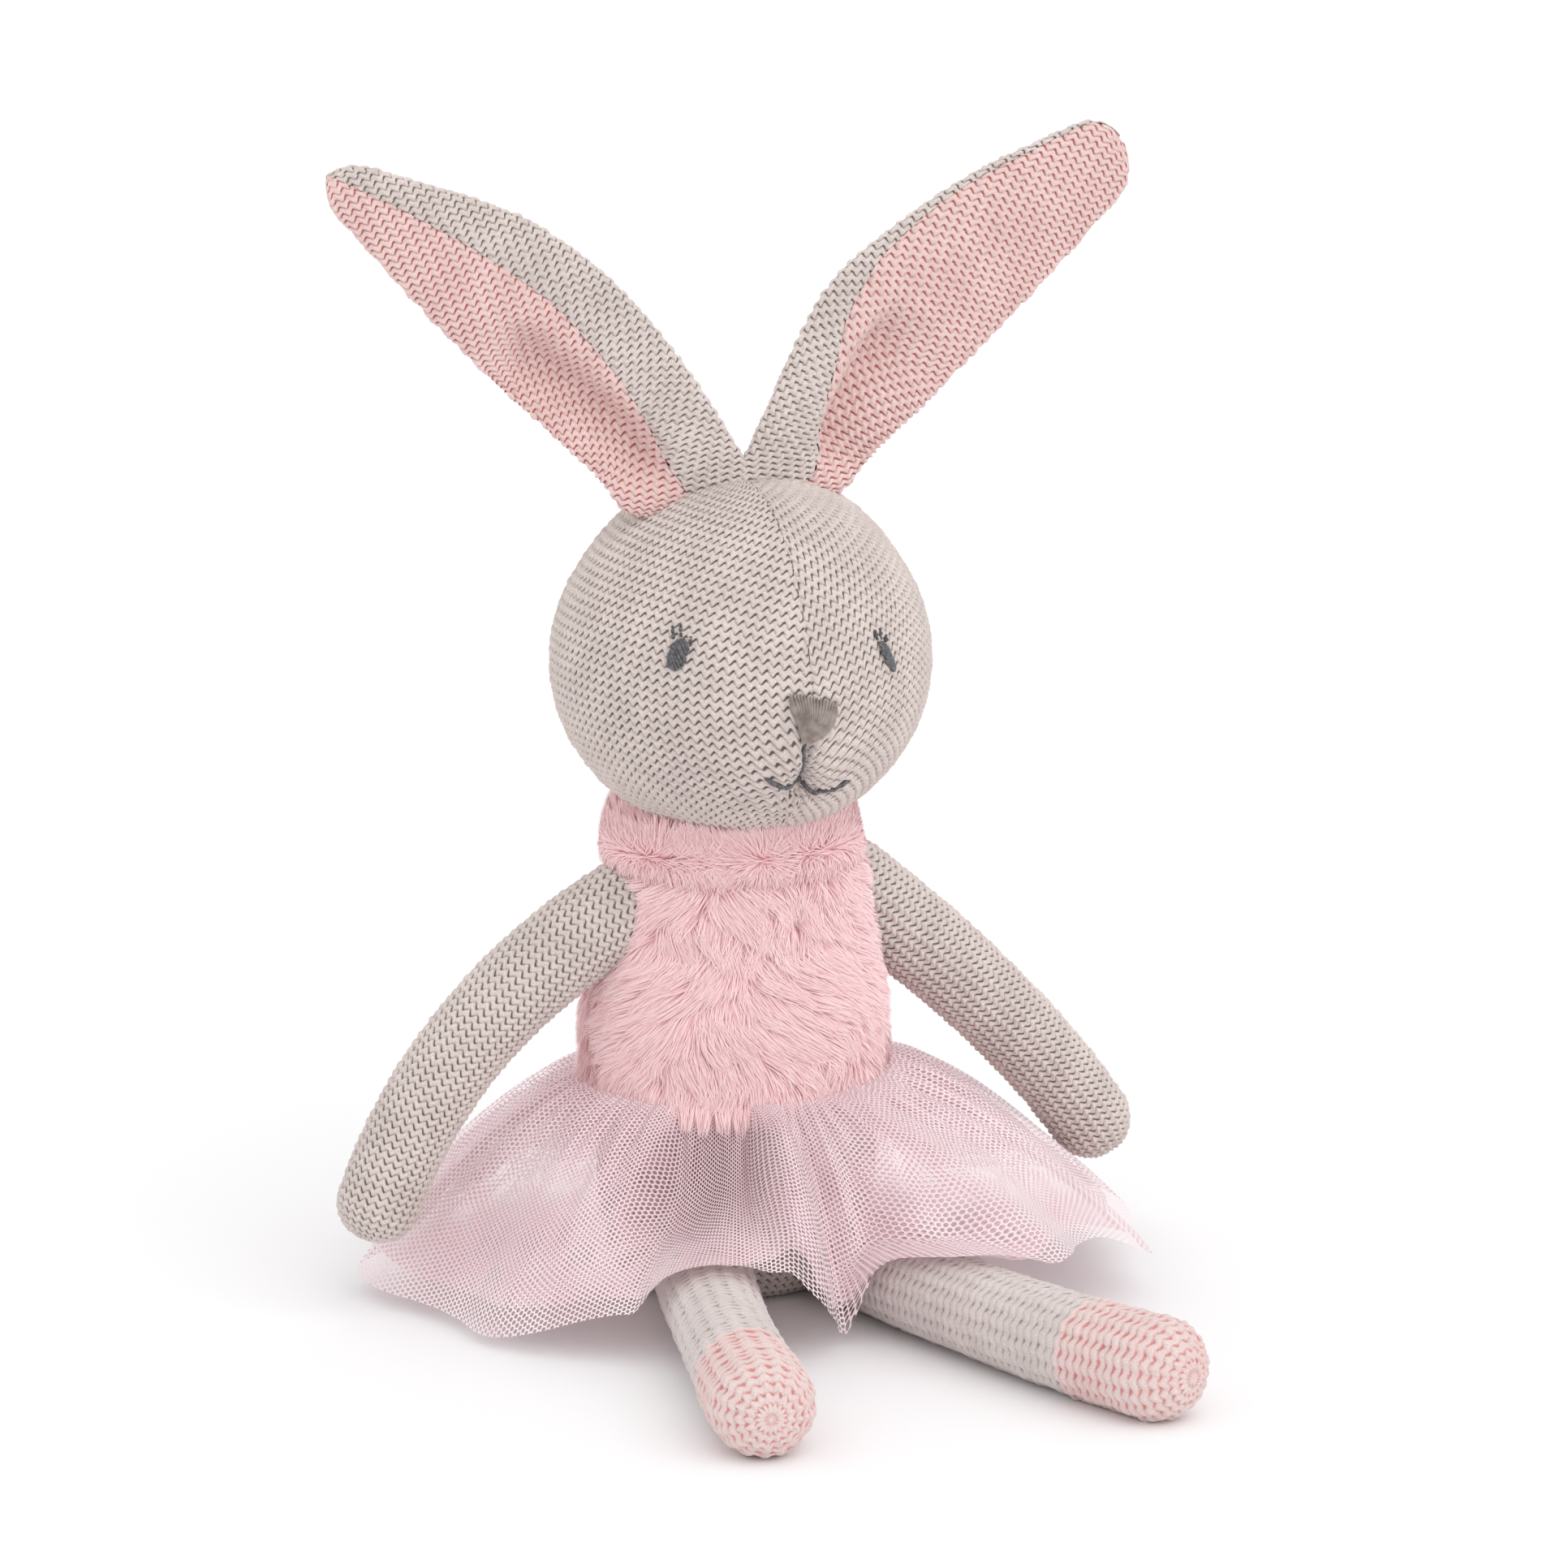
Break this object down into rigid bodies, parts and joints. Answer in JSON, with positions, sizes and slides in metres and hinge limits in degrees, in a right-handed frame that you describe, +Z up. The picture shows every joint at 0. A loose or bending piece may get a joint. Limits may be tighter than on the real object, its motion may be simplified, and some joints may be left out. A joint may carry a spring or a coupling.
{
  "type": "stuffed bunny rabbit",
  "caption": "Seated knitted bunny soft toy with a round head, long lined ears, plush bodice, gathered tulle skirt and floppy stuffed limbs.",
  "frame": {"origin": "middle of the flat seat that the toy sits on, on the floor", "axes": "+Z up through the head, -Y the way the toy faces, +X the toy's left"},
  "size_m": [0.2124, 0.2491, 0.2907],
  "materials": {
    "knit_grey": "reverse stocking-stitch knit, warm grey cotton yarn",
    "knit_pale_grey": "finer stocking-stitch knit, pale grey cotton yarn",
    "knit_pink": "reverse stocking-stitch knit, pale pink cotton yarn",
    "plush_pink": "long-pile plush, brushed and clumped",
    "tulle_pink": "soft hexagonal net, see-through",
    "fibre_fill": "loose white polyester fibre",
    "thread_slate": "slate embroidery thread",
    "thread_taupe": "taupe satin-stitch thread"
  },
  "bodies": {
    "torso": {"torso_stuffing": "fibre_fill", "bodice_front_panel": "plush_pink", "bodice_back_panel": "plush_pink", "hip_cover": "knit_grey", "collar_band": "plush_pink", "tutu_waistband": "tulle_pink", "tutu_outer_layer": "tulle_pink", "tutu_inner_layer": "tulle_pink"},
    "neck": {"neck_stuffing": "fibre_fill"},
    "head": {"head_panel_left": "knit_grey", "head_panel_right": "knit_grey", "head_stuffing": "fibre_fill", "eye_left": "thread_slate", "eye_right": "thread_slate", "lashes_left": "thread_slate", "lashes_right": "thread_slate", "nose": "thread_taupe", "mouth": "thread_slate"},
    "ear_left": {"ear_back_left": "knit_grey", "ear_lining_left": "knit_pink", "ear_wadding_left": "fibre_fill"},
    "arm_left": {"arm_cover_left": "knit_grey", "arm_stuffing_left": "fibre_fill"},
    "leg_left": {"leg_cover_left": "knit_pale_grey", "slipper_left": "knit_pink", "leg_stuffing_left": "fibre_fill"},
    "ear_right": {"ear_back_right": "knit_grey", "ear_lining_right": "knit_pink", "ear_wadding_right": "fibre_fill"},
    "arm_right": {"arm_cover_right": "knit_grey", "arm_stuffing_right": "fibre_fill"},
    "leg_right": {"leg_cover_right": "knit_pale_grey", "slipper_right": "knit_pink", "leg_stuffing_right": "fibre_fill"}
  },
  "joints": [
    {"name": "neck_turn", "type": "hinge", "parent": "torso", "child": "neck", "pos_m": [0, 0, 0.107], "axis": [0, 0, 1], "range_deg": [-45, 45]},
    {"name": "neck_nod", "type": "hinge", "parent": "neck", "child": "head", "pos_m": [0, -0.003, 0.16], "axis": [1, 0, 0], "range_deg": [-20, 25]},
    {"name": "ear_left_flop", "type": "hinge", "parent": "head", "child": "ear_left", "pos_m": [0.0146, -0.003, 0.20779], "axis": [0.9663, 0, -0.2574], "range_deg": [-45, 50]},
    {"name": "shoulder_left_swing", "type": "hinge", "parent": "torso", "child": "arm_left", "pos_m": [0.029, 0, 0.099], "axis": [-1, 0, 0], "range_deg": [-35, 150]},
    {"name": "hip_left_swing", "type": "hinge", "parent": "torso", "child": "leg_left", "pos_m": [0.017, -0.015, 0.0123], "axis": [0.994, 0.1089, 0], "range_deg": [0, 90]},
    {"name": "ear_right_flop", "type": "hinge", "parent": "head", "child": "ear_right", "pos_m": [-0.0146, -0.003, 0.20779], "axis": [0.9663, 0, 0.2574], "range_deg": [-45, 50]},
    {"name": "shoulder_right_swing", "type": "hinge", "parent": "torso", "child": "arm_right", "pos_m": [-0.029, 0, 0.099], "axis": [-1, 0, 0], "range_deg": [-35, 150]},
    {"name": "hip_right_swing", "type": "hinge", "parent": "torso", "child": "leg_right", "pos_m": [-0.017, -0.015, 0.0123], "axis": [0.9545, -0.2983, 0], "range_deg": [0, 90]}
  ]
}
